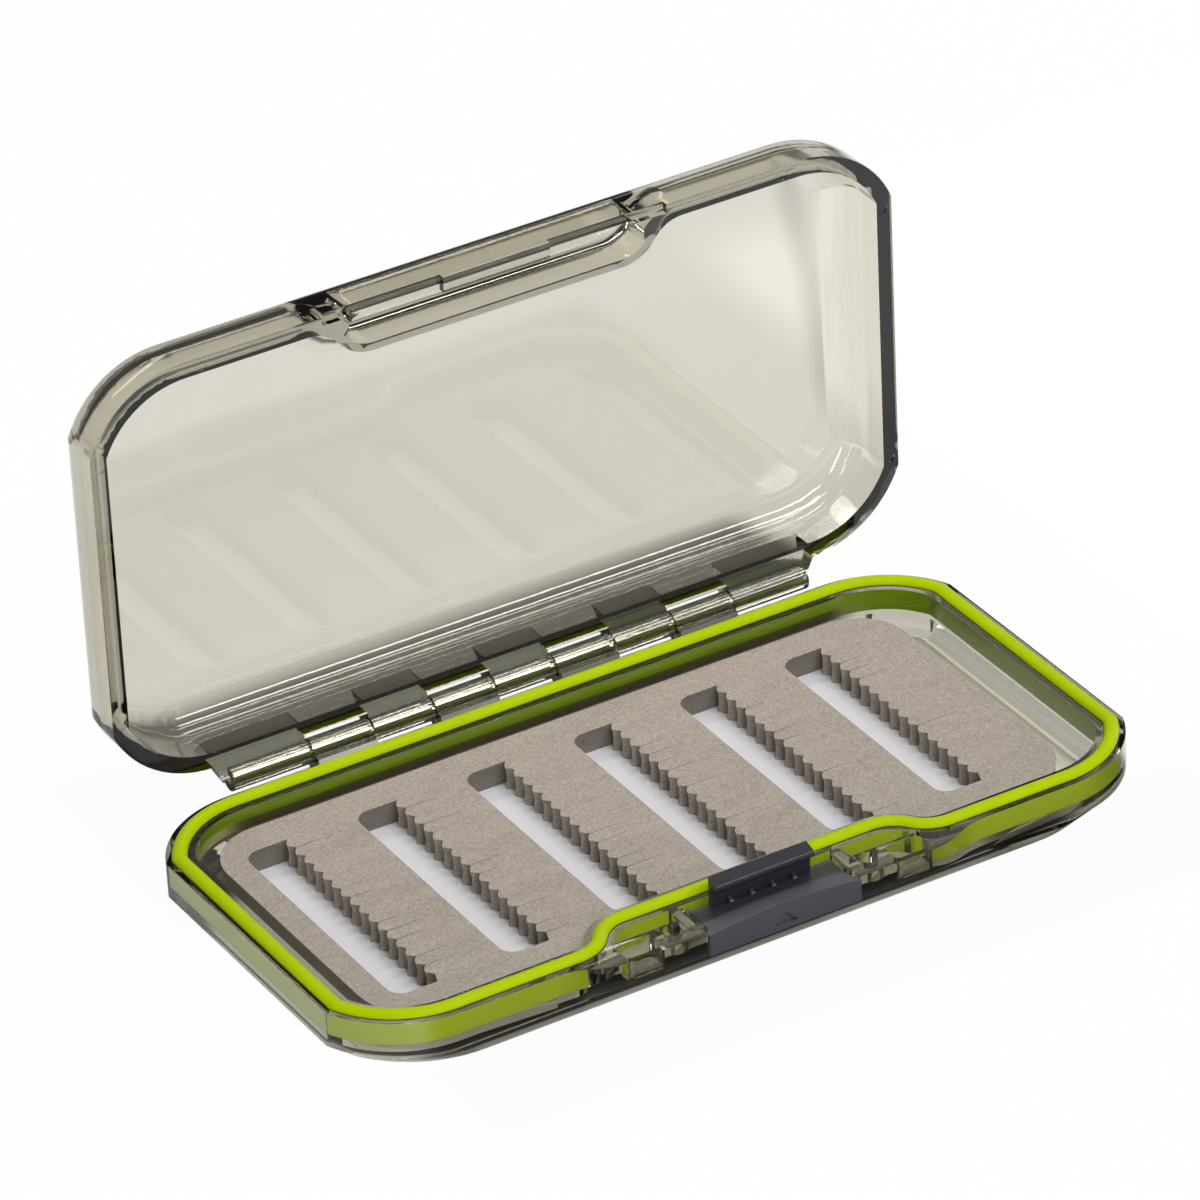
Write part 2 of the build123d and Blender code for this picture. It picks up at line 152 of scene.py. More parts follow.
class SealSettings(PropertyGroup):
    """Rubber seal in the rim."""
    width: FloatProperty(
        name="Width", description="Width of the seal", unit="LENGTH", default=2.7 * MM)
    inset: FloatProperty(
        name="Inset", description="Seal centre line inside the case's edge", unit="LENGTH",
        default=2.4 * MM)
    rim: FloatProperty(
        name="Rim", description="Height of the case's rim", unit="LENGTH",
        default=11 * MM)
    jog_half: FloatProperty(
        name="Step half length", description="Half the straight part behind the latch",
        unit="LENGTH", default=24 * MM)
    jog_run: FloatProperty(
        name="Step bend", description="Length of each S bend", unit="LENGTH",
        default=12 * MM)
    jog_shift: FloatProperty(
        name="Step depth", description="How far the seal steps inwards", unit="LENGTH",
        default=6.2 * MM)
    colour: FloatVectorProperty(
        name="Colour", description="Lime rubber", subtype="COLOR", size=3, min=0, max=1,
        default=(0.44, 0.58, 0.001))
    # Painted shade: darker copies of the lime for the rubber below the rim, behind the outer
    # wall and down inside the tray
    shaded_skirt: FloatVectorProperty(
        name="Skirt colour", description="Lime rubber behind the tray's outer wall",
        subtype="COLOR", size=3, min=0, max=1, default=(0.31, 0.41, 0.02))
    # Painted shade at the foot of the inner wall
    foot: FloatVectorProperty(
        name="Foot colour", description="Lime rubber at the foot of the inner wall",
        subtype="COLOR", size=3, min=0, max=1, default=(0.38, 0.37, 0.18))
    shaded: FloatVectorProperty(
        name="Shaded colour", description="Lime rubber down inside the tray",
        subtype="COLOR", size=3, min=0, max=1, default=(0.13, 0.22, 0.001))


class FoamSettings(PropertyGroup):
    """Slotted foam insert and the sheet under it."""
    corner_radius: FloatProperty(
        name="Corner radius", description="Round of the insert's corners", unit="LENGTH",
        default=10 * MM)
    gap: FloatProperty(
        name="Gap to the seal", description="From the seal's centre line to the foam",
        unit="LENGTH", default=3.55 * MM)
    slots: IntProperty(name="Slots", description="Number of slots", default=6, min=1)
    slot_pitch: FloatProperty(
        name="Slot pitch", description="Distance between slots", unit="LENGTH",
        default=21.1 * MM)
    slot_first: FloatProperty(
        name="First slot", description="Insert's edge to the first slot", unit="LENGTH",
        default=4.7 * MM)
    slot_width: FloatProperty(
        name="Slot width", description="Straight side to the roots of the saw edge",
        unit="LENGTH", default=8.7 * MM)
    slot_half: FloatProperty(
        name="Slot half length", description="Half the length of a slot", unit="LENGTH",
        default=25.5 * MM)
    slot_round: FloatProperty(
        name="Slot round", description="Round on the straight side's ends", unit="LENGTH",
        default=2.8 * MM)
    wall_bow: FloatProperty(
        name="Wall bow", description="How far the cut walls pull in at mid height",
        unit="LENGTH", default=0.28 * MM)
    teeth: IntProperty(name="Teeth", description="Teeth along a slot", default=16, min=2)
    tooth_pitch: FloatProperty(
        name="Tooth pitch", description="Distance between teeth", unit="LENGTH",
        default=3.05 * MM)
    tooth_depth: FloatProperty(
        name="Tooth depth", description="Depth of the saw edge", unit="LENGTH",
        default=1.1 * MM)
    colour: FloatVectorProperty(
        name="Colour", description="Warm grey foam", subtype="COLOR", size=3, min=0, max=1,
        default=(0.388, 0.338, 0.29))
    cut_shade: FloatProperty(
        name="Cut shade", description="How much darker the cut walls are in their corners",
        default=0.6, min=0, max=1, subtype="FACTOR")
    sheet_colour: FloatVectorProperty(
        name="Sheet colour", description="White backing sheet", subtype="COLOR", size=3,
        min=0, max=1, default=(0.80, 0.79, 0.83))


class LatchSettings(PropertyGroup):
    """Push latch moulding and hinge rod."""
    colour: FloatVectorProperty(
        name="Colour", description="Slate grey moulding", subtype="COLOR", size=3, min=0,
        max=1, default=(0.068, 0.074, 0.086))
    # Painted shade: a darker copy of the slate for the raised hook
    hook_shade_colour: FloatVectorProperty(
        name="Hook colour", description="Darker slate of the raised hook",
        subtype="COLOR", size=3, min=0, max=1, default=(0.024, 0.026, 0.032))
    edge_round: FloatProperty(
        name="Edge round", description="Round on the moulded edges", unit="LENGTH",
        default=0.22 * MM)
    steel: FloatVectorProperty(
        name="Steel", description="Bright drawn rod", subtype="COLOR", size=3, min=0, max=1,
        default=(0.78, 0.78, 0.77))


class StudioSettings(PropertyGroup):
    """Camera, floor and lights."""
    azimuth: FloatProperty(
        name="Azimuth", description="Camera turn about the box", subtype="ANGLE",
        default=math.radians(-29.721))
    elevation: FloatProperty(
        name="Elevation", description="Camera height angle", subtype="ANGLE",
        default=math.radians(31.228))
    roll: FloatProperty(
        name="Roll", description="Camera roll", subtype="ANGLE",
        default=math.radians(-2.835))
    place: FloatVectorProperty(
        name="Place", description="Camera position", subtype="TRANSLATION", size=3,
        default=(-0.579627, -1.001955, 0.750363))
    lens: FloatProperty(
        name="Lens", description="Focal length on a 36 mm sensor, in millimetres",
        default=246.687)
    floor_colour: FloatVectorProperty(
        name="Floor colour", description="Pale paper", subtype="COLOR", size=3, min=0,
        max=1, default=(0.46, 0.46, 0.46))
    floor_glow: FloatProperty(
        name="Floor glow", description="Light that comes up through the paper",
        default=0.56, min=0)
    floor_shade: FloatProperty(
        name="Floor shade", description="Depth of the paper's darker zones",
        default=0.9, min=0, max=1, subtype="FACTOR")
    floor_even: FloatProperty(
        name="Even floor", description="How evenly white the paper looks", default=0.97,
        min=0, max=1, subtype="FACTOR")
    key_power: FloatProperty(
        name="Key power", description="Overhead soft light", unit="POWER", default=16.5)
    strip_power: FloatProperty(
        name="Strip power", description="Strip light behind the set", unit="POWER",
        default=5.0)
    front_power: FloatProperty(
        name="Front power", description="Upright strip light in front of the set",
        unit="POWER", default=4.5)
    card_power: FloatProperty(
        name="Card power", description="Pale card behind the right end", unit="POWER",
        default=0.74)
    fill_power: FloatProperty(
        name="Fill power", description="Side strip lights", unit="POWER", default=1.6)
    room: FloatProperty(
        name="Room", description="Light of the room round the set", default=0.07, min=0)


# ---------------------------------------------------------------- shader helpers

class Signal:
    """A value socket that does arithmetic by adding Math nodes."""

    def __init__(self, shader, socket):
        self.shader = shader
        self.socket = socket

    def _math(self, operation, first, second):
        return self.shader.node(
            "ShaderNodeMath", {"operation": operation}, {0: first, 1: second}).out("Value")

    def __add__(self, other):
        return self._math("ADD", self, other)

    def __sub__(self, other):
        return self._math("SUBTRACT", self, other)

    def __rsub__(self, other):
        return self._math("SUBTRACT", other, self)

    def __mul__(self, other):
        return self._math("MULTIPLY", self, other)


class Made:
    """A node just made, with its outputs at hand."""

    def __init__(self, shader, node):
        self.shader = shader
        self.node = node

    def out(self, name):
        return Signal(self.shader, self.node.outputs[name])


class Shader:
    """One material's nodes."""

    def __init__(self, name):
        self.material = bpy.data.materials.new(name)
        self.material.use_nodes = True
        self.tree = self.material.node_tree
        self.tree.nodes.clear()
        self.end = self.tree.nodes.new("ShaderNodeOutputMaterial")

    def node(self, kind, settings=None, sockets=None):
        """Add a node: its settings first, then the values or links of its sockets."""
        made = self.tree.nodes.new(kind)
        for key, value in (settings or {}).items():
            setattr(made, key, value)
        for key, value in (sockets or {}).items():
            if isinstance(value, Signal):
                self.tree.links.new(value.socket, made.inputs[key])
            else:
                made.inputs[key].default_value = value
        return Made(self, made)

    def place(self, scale):
        """The piece's own coordinates, scaled along each axis."""
        own = self.node("ShaderNodeTexCoord").out("Object")
        return self.node(
            "ShaderNodeMapping", None, {"Vector": own, "Scale": scale}).out("Vector")

    def axes(self):
        """The piece's own x, y and z."""
        own = self.node("ShaderNodeTexCoord").out("Object")
        split = self.node("ShaderNodeSeparateXYZ", None, {"Vector": own})
        return split.out("X"), split.out("Y"), split.out("Z")

    def ramp(self, amount, start, end):
        """Rises softly from 0 at start to 1 at end, which may be the lower of the two."""
        return self.node(
            "ShaderNodeMapRange", {"interpolation_type": "SMOOTHSTEP"},
            {"Value": amount, "From Min": start, "From Max": end}).out("Result")

    def stored(self, name):
        """A value that is stored in the mesh."""
        return self.node(
            "ShaderNodeAttribute",
            {"attribute_type": "GEOMETRY", "attribute_name": name}).out("Fac")

    def either_side(self, distance, start, end):
        """The same ramp on both sides of the middle, from start to end in millimetres."""
        return self.ramp(distance * distance, (start * MM) ** 2, (end * MM) ** 2)

    def noise(self, scale, detail, roughness=0.55, stretch=(1, 1, 1)):
        """Cloudy noise about 0.5, with scale cells to a metre."""
        return self.node(
            "ShaderNodeTexNoise", None,
            {"Vector": self.place(stretch), "Scale": scale, "Detail": detail,
             "Roughness": roughness}).out("Fac")

    def mix(self, amount, low, high):
        """Mix two colours, each a fixed colour or a signal."""
        sockets = {"Factor": amount}
        for socket, colour in ((MIX_LOW, low), (MIX_HIGH, high)):
            sockets[socket] = colour if isinstance(colour, Signal) else (*colour, 1)
        return self.node("ShaderNodeMix", {"data_type": "RGBA"}, sockets).out(MIX_RESULT)

    def bump(self, height, distance, strength, under=None):
        """A normal for a surface raised by height times distance in metres."""
        sockets = {"Height": height, "Distance": distance, "Strength": strength}
        if under is not None:
            sockets["Normal"] = under
        return self.node("ShaderNodeBump", None, sockets).out("Normal")

    def principled(self, sockets):
        """A Principled surface with these sockets set."""
        return self.node("ShaderNodeBsdfPrincipled", None, sockets).out("BSDF")

    def finish(self, surface, volume=None):
        """Link the surface and the volume to the output, and return the material."""
        self.tree.links.new(surface.socket, self.end.inputs["Surface"])
        if volume is not None:
            self.tree.links.new(volume.socket, self.end.inputs["Volume"])
        return self.material


# ---------------------------------------------------------------- mesh helpers

def scaled(colour, factor):
    """A colour times a factor, held at white."""
    return tuple(min(1.0, c * factor) for c in colour)


def new_piece(name, mesh, material, body, slot, *nodes):
    """Put a mesh in the scene as a piece that rides on a body and replaces CAD nodes."""
    piece = bpy.data.objects.new(name, mesh)
    bpy.context.scene.collection.objects.link(piece)
    mesh.materials.clear()
    mesh.materials.append(material)
    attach(piece, body)
    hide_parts(*nodes)
    return piece


def stored_mesh(bm, name, sharp_angle):
    """Shade smoothly but for the steep edges, and store the bmesh as a mesh."""
    for face in bm.faces:
        face.smooth = True
    for edge in bm.edges:
        if len(edge.link_faces) == 2:
            edge.smooth = edge.calc_face_angle(0.0) < sharp_angle
    mesh = bpy.data.meshes.new(name)
    bm.to_mesh(mesh)
    bm.free()
    return mesh


def finished_mesh(bm, name, sharp_angle):
    """Turn all faces outwards, then store the bmesh."""
    bmesh.ops.recalc_face_normals(bm, faces=bm.faces)
    return stored_mesh(bm, name, sharp_angle)


def merged_copy(node, sharp_angle):
    """A copy of a CAD node's mesh, its flat faces joined and cut afresh."""
    bm = bmesh.new()
    bm.from_mesh(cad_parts[node].data)
    bmesh.ops.remove_doubles(bm, verts=bm.verts, dist=WELD)
    bmesh.ops.dissolve_limit(
        bm, angle_limit=math.radians(0.4), verts=bm.verts, edges=bm.edges,
        use_dissolve_boundaries=False)
    bmesh.ops.triangulate(bm, faces=bm.faces)
    return stored_mesh(bm, node + "_finished", sharp_angle)


def soften_edges(piece, width, segments):
    """Round the moulded edges, and let large flat faces set how the rounds are shaded."""
    rounded = piece.modifiers.new("Moulded edges", "BEVEL")
    rounded.width = width
    rounded.segments = segments
    rounded.limit_method = "ANGLE"
    rounded.angle_limit = math.radians(40)
    weighted = piece.modifiers.new("Even shading", "WEIGHTED_NORMAL")
    weighted.mode = "FACE_AREA"
    weighted.weight = 90
    weighted.keep_sharp = True


class Outline:
    """Draws a flat outline in a bmesh, point by point, from straight runs and arcs."""

    def __init__(self, bm, x, y, z):
        self.bm = bm
        self.z = z
        self.first = self.last = bm.verts.new((x, y, z))
        self.edges = []

    def line(self, x, y):
        """Run straight to a point."""
        made = bmesh.ops.extrude_vert_indiv(self.bm, verts=[self.last])
        self.edges += made["edges"]
        self.last = made["verts"][0]
        self.last.co = (x, y, self.z)
        return self

    def arc(self, centre_x, centre_y, angle, steps):
        """Turn about a centre, anticlockwise where the angle is positive."""
        before = set(self.bm.edges)
        made = bmesh.ops.spin(
            self.bm, geom=[self.last], cent=(centre_x, centre_y, self.z), axis=(0, 0, 1),
            dvec=(0, 0, 0), angle=angle, steps=steps, use_merge=False, use_duplicate=False)
        self.last = [v for v in made["geom_last"] if isinstance(v, bmesh.types.BMVert)][0]
        self.edges += [e for e in self.bm.edges if e not in before]
        return self

    def close(self):
        """Run back to the first point and return the loop."""
        self.edges.append(self.bm.edges.new((self.last, self.first)))
        return self.edges

    def mirror_closed(self):
        """Mirror the right half drawn so far, and join both halves into a loop."""
        verts = {v for e in self.edges for v in e.verts}
        before = set(self.bm.edges)
        bmesh.ops.mirror(
            self.bm, geom=list(verts) + self.edges, axis="X", merge_dist=WELD)
        self.edges = [e for e in self.bm.edges if e not in before] + self.edges
        return [e for e in self.edges if e.is_valid]


def seal_step(seal):
    """Radius and turn of the two equal bends by which the seal steps in."""
    radius = (seal.jog_run ** 2 + seal.jog_shift ** 2) / (4 * seal.jog_shift)
    return radius, 2 * math.atan2(seal.jog_shift, seal.jog_run)


def seal_outline(bm, case, seal, shift, z):
    """The seal's centre line moved outwards by shift, right half drawn and mirrored."""
    steps = 12
    inset = seal.inset - shift
    centre_x = case.length / 2 + case.corner_cut - case.corner_radius
    centre_y = case.width / 2 - case.corner_radius
    radius = case.corner_radius - inset
    turn_end = math.acos((case.length / 2 - inset - centre_x) / radius)
    low = -case.width / 2 + inset
    bend, turn = seal_step(seal)
    level = low + seal.jog_shift
    outline = Outline(bm, 0, level, z)
    outline.line(seal.jog_half, level)
    outline.arc(seal.jog_half, level - (bend - shift), -turn, steps)
    outline.arc(seal.jog_half + seal.jog_run, low + bend + shift, turn, steps)
    outline.line(centre_x, low)
    outline.arc(centre_x, -centre_y, QUARTER - turn_end, 2 * steps)
    outline.line(outline.last.co.x, -outline.last.co.y)
    outline.arc(centre_x, centre_y, QUARTER - turn_end, 2 * steps)
    outline.line(0, case.width / 2 - inset)
    return outline.mirror_closed()


def raise_faces(bm, faces, height):
    """Extrude faces upwards into a closed solid."""
    made = bmesh.ops.extrude_face_region(bm, geom=faces)
    verts = [v for v in made["geom"] if isinstance(v, bmesh.types.BMVert)]
    bmesh.ops.translate(bm, verts=verts, vec=(0, 0, height))


def raise_slab(bm, edges, height):
    """Fill flat outlines, but for the holes, and raise the filling into a solid."""
    flat = bmesh.ops.triangle_fill(bm, edges=edges, use_beauty=True, use_dissolve=False)
    faces = [f for f in flat["geom"] if isinstance(f, bmesh.types.BMFace)]
    raise_faces(bm, faces, height)


# ---------------------------------------------------------------- materials

def smoke_plastic(name, case, shadow_tint):
    """Clear moulded plastic with a light smoke tint that deepens along its edges."""
    shader = Shader(name)
    flow = shader.noise(28, 1.0)
    fine = shader.noise(900, 2.0)
    wave = shader.bump(flow, 0.06 * MM, 0.12)
    skin = shader.bump(fine, 0.004 * MM, 0.06, wave)
    x, y, z = shader.axes()
    # The foot is scuffed at both ends, and the floor above it is frosted underneath
    scuffed = shader.ramp(z, 1.3 * MM, 0.7 * MM) * shader.either_side(x, 64, 68)
    frosted = (shader.ramp(z, 2.8 * MM, 2.5 * MM) * shader.either_side(x, 73.5, 72)
               * shader.either_side(y, 36.5, 35))
    clear = shader.principled({
        "Base Color": (*case.tint, 1),
        "Roughness": flow * 0.02 + scuffed * 0.18 + frosted * 0.45 + 0.004,
        "IOR": 1.57, "Transmission Weight": 1.0, "Normal": skin})
    through = shader.node("ShaderNodeBsdfTransparent", None, {
        "Color": (*shadow_tint, 1)}).out("BSDF")
    shadow = shader.node("ShaderNodeLightPath").out("Is Shadow Ray")
    surface = shader.node("ShaderNodeMixShader", None, {
        "Fac": shadow, 1: clear, 2: through}).out("Shader")
    depth = shader.node("ShaderNodeVolumeAbsorption", None, {
        "Color": (*case.smoke, 1), "Density": case.smoke_density}).out("Volume")
    return shader.finish(surface, depth)


def lime_rubber(seal):
    """Matt lime silicone with a satin skin, and painted shade below the rim: darker copies of
    the lime on the skirt and inner walls, and a dark line at the groove.
    """
    shader = Shader("lime_rubber")
    cloud = shader.noise(160, 3.0)
    dust = shader.noise(2600, 2.0)
    x, _, z = shader.axes()
    rim = seal.rim
    inside = shader.stored("inner")
    # Painted shade: below the rim the rubber takes darker copies of its colour
    below = shader.ramp(z, rim + 0.1 * MM, rim - 0.3 * MM)
    # A painted dark line of shade round the groove, from just under the rim to just over it
    groove_shade = (shader.ramp(z, rim - 0.5 * MM, rim - 0.25 * MM)
              * shader.ramp(z, rim + 0.3 * MM, rim + 0.05 * MM))
    unshaded = shader.mix(cloud, scaled(seal.colour, 0.93), scaled(seal.colour, 1.06))
    # Painted shade at the foot of the inner wall: darkest along the long sides, paler at the
    # left end, and left out at the right end
    ends = shader.either_side(x, 57, 65)
    low = shader.ramp(z, 8.7 * MM, 8.0 * MM) * shader.ramp(x, 66 * MM, 58 * MM)
    foot = shader.mix(ends, scaled(seal.foot, 0.13), seal.foot)
    inner = shader.mix(low, seal.shaded, foot)
    wall = shader.mix(inside, seal.shaded_skirt, inner)
    sunken = shader.mix(below, unshaded, wall)
    colour = shader.mix(groove_shade * 0.9, sunken, scaled(seal.colour, 0.02))
    return shader.finish(shader.principled({
        "Base Color": colour, "Roughness": dust * 0.12 + 0.26, "IOR": 1.42,
        "Specular IOR Level": 0.07, "Normal": shader.bump(dust, 0.02 * MM, 0.35)}))


def slot_foam(foam):
    """Fine closed-cell foam: pinprick cells, faint streaks from slicing, and painted shade on
    the cut walls.
    """
    shader = Shader("slot_foam")
    cells = shader.noise(3000, 2.0, 0.7)
    grain = shader.noise(1500, 4.0, 0.65)
    streak = shader.noise(240, 3.0, stretch=(0.25, 1, 1))
    mottle = (cells - 0.5) * 1.5 + (grain - 0.5) * 0.9 + (streak - 0.5) * 0.5 + 0.5
    cut_wall_shade = shader.stored("cut_wall_shade")
    unshaded = shader.mix(mottle, scaled(foam.colour, 0.66), scaled(foam.colour, 1.34))
    # Painted shade: the cut walls darken towards the roots of the teeth, and all over on the
    # other walls
    colour = shader.mix(cut_wall_shade * foam.cut_shade, unshaded, scaled(foam.colour, 0.12))
    return shader.finish(shader.principled({
        "Base Color": colour, "Roughness": grain * 0.15 + 0.82,
        "Specular IOR Level": 0.25, "Sheen Weight": 0.15, "Sheen Roughness": 0.6,
        "Normal": shader.bump(cells * 0.5 + grain * 0.5, 0.12 * MM, 0.8)}))


def backing_paper(foam):
    """Smooth white sheet under the foam."""
    shader = Shader("backing_paper")
    cloud = shader.noise(420, 3.0)
    colour = shader.mix(cloud, scaled(foam.sheet_colour, 0.95), foam.sheet_colour)
    return shader.finish(shader.principled({
        "Base Color": colour, "Roughness": cloud * 0.1 + 0.55,
        "Normal": shader.bump(cloud, 0.02 * MM, 0.3)}))


def latch_moulding(latch):
    """Slate grey moulding with a fine spark texture, the raised hook darkened by painted shade.
    """
    shader = Shader("latch_moulding")
    spark = shader.noise(3200, 2.0)
    cloud = shader.noise(220, 2.0)
    face = shader.mix(cloud, scaled(latch.colour, 0.94), scaled(latch.colour, 1.08))
    _, y, _ = shader.axes()
    # Painted shade on the raised hook, which is also a little glossier
    hook = shader.ramp(y, -39.4 * MM, -38.2 * MM)
    colour = shader.mix(hook, face, latch.hook_shade_colour)
    return shader.finish(shader.principled({
        "Base Color": colour, "Roughness": spark * 0.14 + 0.36 - hook * 0.08, "IOR": 1.5,
        "Normal": shader.bump(spark, 0.03 * MM, 0.4)}))


def drawn_steel(latch):
    """Bright rod, drawn lengthways."""
    shader = Shader("drawn_steel")
    draw = shader.noise(2200, 2.0, stretch=(0.01, 1, 1))
    return shader.finish(shader.principled({
        "Base Color": (*latch.steel, 1), "Metallic": 1.0, "Roughness": draw * 0.12 + 0.12,
        "Normal": shader.bump(draw, 0.006 * MM, 0.3)}))


def paper_sweep(studio):
    """Pale paper that looks evenly white, but lights the set as glowing paper with painted
    shadows of the box and painted pale patches.
    """
    shader = Shader("paper_sweep")
    tooth = shader.noise(60, 3.0)
    x, y, _ = shader.axes()

    def rise(along, start, end):
        """From 0 at start to 1 at end, in millimetres."""
        return shader.ramp(along, start * MM, end * MM)

    def zone(west, east, south, north, edge):
        """1 inside a rectangle, falling to 0 over its soft edge, in millimetres."""
        return (rise(x, west - edge, west) * rise(x, east + edge, east)
                * rise(y, south - edge, south) * rise(y, north + edge, north))

    depth = studio.floor_shade
    *fade_run, fade = HINGE_FADE
    # The paper's painted shadows and pale patches, which darken or brighten both its colour and
    # its glow
    lit = 1 - zone(*HINGE_ZONE) * depth * (1 - rise(y, *fade_run) * fade)
    for *sides, strength in FLOOR_ZONES:
        lit = lit * (1 - zone(*sides) * depth * strength)
    *dark_run, dark_share = FAR_DARK
    lit = lit * (1 - rise(y, *dark_run) * dark_share)
    *dim_run, dim_share = NEAR_DIM
    lit = lit * (rise(y, *dim_run) * dim_share + (1 - dim_share))
    glow_x, glow_y, glow_share, glow_base = SIDE_GLOW
    lit = lit * (rise(x, *glow_x) * rise(y, *glow_y) * glow_share + glow_base)
    slant = x - y * SHADE_SLANT
    left, right, behind, shade_share = SLANT_SHADE
    lit = lit * (1 - rise(slant, *left) * rise(slant, *right)
                 * rise(y, *behind) * shade_share)
    dark = scaled(studio.floor_colour, 0.03)
    colour = shader.mix(lit * (tooth * 0.02 + 0.98), dark, studio.floor_colour)
    glow = shader.mix(lit, (0, 0, 0), (1, 1, 1))
    paper = shader.principled({
        "Base Color": colour, "Roughness": 0.9, "Specular IOR Level": 0.1,
        "Emission Color": glow, "Emission Strength": studio.floor_glow})
    white = shader.node("ShaderNodeEmission", None, {"Strength": 1.0}).out("Emission")
    seen = shader.node("ShaderNodeLightPath").out("Is Camera Ray")
    surface = shader.node("ShaderNodeMixShader", None, {
        "Fac": seen * studio.floor_even, 1: paper, 2: white}).out("Shader")
    return shader.finish(surface)


# ---------------------------------------------------------------- operators

class FLYBOX_OT_shells(Operator):
    """Polish the clear tray and lid"""
    bl_idname = "flybox.shells"
    bl_label = "Clear Shells"

    def execute(self, context):
        case = context.scene.flybox_case
        for node, body, shadow_tint in (
                ("base_tray", "base", case.tray_shadow), ("lid_shell", "lid", case.lid_shadow)):
            mesh = merged_copy(node, case.sharp_angle)
            piece = new_piece(
                "clear_" + node, mesh, smoke_plastic("smoke_" + node, case, shadow_tint),
                body, "smoke_clear", node)
            soften_edges(piece, case.edge_round, 2)
        return {"FINISHED"}


class FLYBOX_OT_seal(Operator):
    """Lay the rubber bead in the tray's groove"""
    bl_idname = "flybox.seal"
    bl_label = "Rim Seal"

    def execute(self, context):
        case, seal = context.scene.flybox_case, context.scene.flybox_seal
        low, high = SEAL_LOW.z, SEAL_HIGH.z
        bm = bmesh.new()
        loops = seal_outline(bm, case, seal, seal.width / 2, low)
        loops += seal_outline(bm, case, seal, -seal.width / 2, low)
        ring = bmesh.ops.bridge_loops(bm, edges=loops)["faces"]
        raise_faces(bm, ring, high - low)
        shoulders = [
            e for e in bm.edges
            if all(abs(v.co.z - high) < SAME_LEVEL for v in e.verts)
            and any(abs(f.normal.z) < 0.5 for f in e.link_faces)]
        bmesh.ops.recalc_face_normals(bm, faces=bm.faces)
        bmesh.ops.bevel(
            bm, geom=shoulders, offset=0.46 * seal.width, segments=6, profile=0.5,
            affect="EDGES", material=-1, clamp_overlap=True)
        # The side walls that face the middle of the tray are marked for their shade
        inner = bm.faces.layers.float.new("inner")
        for face in bm.faces:
            middle = face.calc_center_median()
            inward = face.normal.x * middle.x + face.normal.y * middle.y < 0
            face[inner] = 1.0 if inward and abs(face.normal.z) < 0.5 else 0.0
        mesh = finished_mesh(bm, "seal_bead", math.radians(40))
        new_piece("seal_bead", mesh, lime_rubber(seal), "base", "seal_rubber", "gasket")
        return {"FINISHED"}


def insert_outline(bm, case, seal, foam, z):
    """Outline of the foam, stepped in behind the latch as the seal is."""
    left, right = FOAM_LOW.x, FOAM_HIGH.x
    low, high = FOAM_LOW.y, FOAM_HIGH.y
    corner = foam.corner_radius
    bend, turn = seal_step(seal)
    front = -case.width / 2 + seal.inset + foam.gap
    level = front + seal.jog_shift
    outer_bend, inner_bend = bend + foam.gap, bend - foam.gap
    # The lower bend is met part of the way round, at the foam's straight front edge
    lower_x = seal.jog_half + seal.jog_run
    met = math.acos(1 - (low - front) / inner_bend)
    outline = Outline(bm, right, 0, z)
    outline.line(right, high - corner).arc(right - corner, high - corner, QUARTER, 10)
    outline.line(left + corner, high).arc(left + corner, high - corner, QUARTER, 10)
    outline.line(left, low + corner).arc(left + corner, low + corner, QUARTER, 10)
    outline.line(-lower_x + inner_bend * math.sin(met), low)
    outline.arc(-lower_x, front + inner_bend, turn - met, 8)
    outline.arc(-seal.jog_half, level - outer_bend, -turn, 10)
    outline.line(seal.jog_half, level)
    outline.arc(seal.jog_half, level - outer_bend, -turn, 10)
    outline.arc(lower_x, front + inner_bend, turn - met, 8)
    outline.line(right - corner, low)
    outline.arc(right - corner, low + corner, QUARTER, 10)
    return outline.close()


def slot_outline(bm, foam, left, z, dice):
    """One slot: a straight side with rounded ends, and a saw edge slit at its roots."""
    half, corner = foam.slot_half, foam.slot_round
    root = left + foam.slot_width
    tip = root - foam.tooth_depth
    outline = Outline(bm, root, half, z)
    outline.line(left + corner, half).arc(left + corner, half - corner, QUARTER, 6)
    outline.line(left, corner - half).arc(left + corner, corner - half, QUARTER, 6)
    y = half - foam.teeth * foam.tooth_pitch
    outline.line(tip + FIRST_NOTCH, -half)
    for _ in range(foam.teeth):
        outline.line(root, y)
        if dice.random() < SLIT_SHARE:
            reach = dice.uniform(*SLIT_REACH) * MM
            outline.line(root + reach, y)
            outline.line(root + reach, y + SLIT_END)
            outline.line(root, y + SLIT_MOUTH)
        outline.line(tip, y + TIP_ALONG * foam.tooth_pitch)
        outline.line(tip + NOTCH_ACROSS * foam.tooth_depth,
                     y + NOTCH_ALONG * foam.tooth_pitch)
        y += foam.tooth_pitch
    return outline.close()


def bow_walls(bm, foam):
    """Pull the cut walls in a little at mid height, as cut foam is."""
    bmesh.ops.recalc_face_normals(bm, faces=bm.faces)
    upright = [e for e in bm.edges if abs(e.verts[0].co.z - e.verts[1].co.z) > 1 * MM]
    bmesh.ops.subdivide_edges(bm, edges=upright, cuts=WALL_CUTS, use_grid_fill=True)
    bm.normal_update()
    height = FOAM_HIGH.z - FOAM_LOW.z
    moves = []
    for vert in bm.verts:
        level = (vert.co.z - FOAM_LOW.z) / height
        if 0.01 < level < 0.99:
            pull = foam.wall_bow * math.sin(math.pi * level) ** 0.7
            moves.append((vert, vert.normal * -pull))
    for vert, move in moves:
        vert.co += move


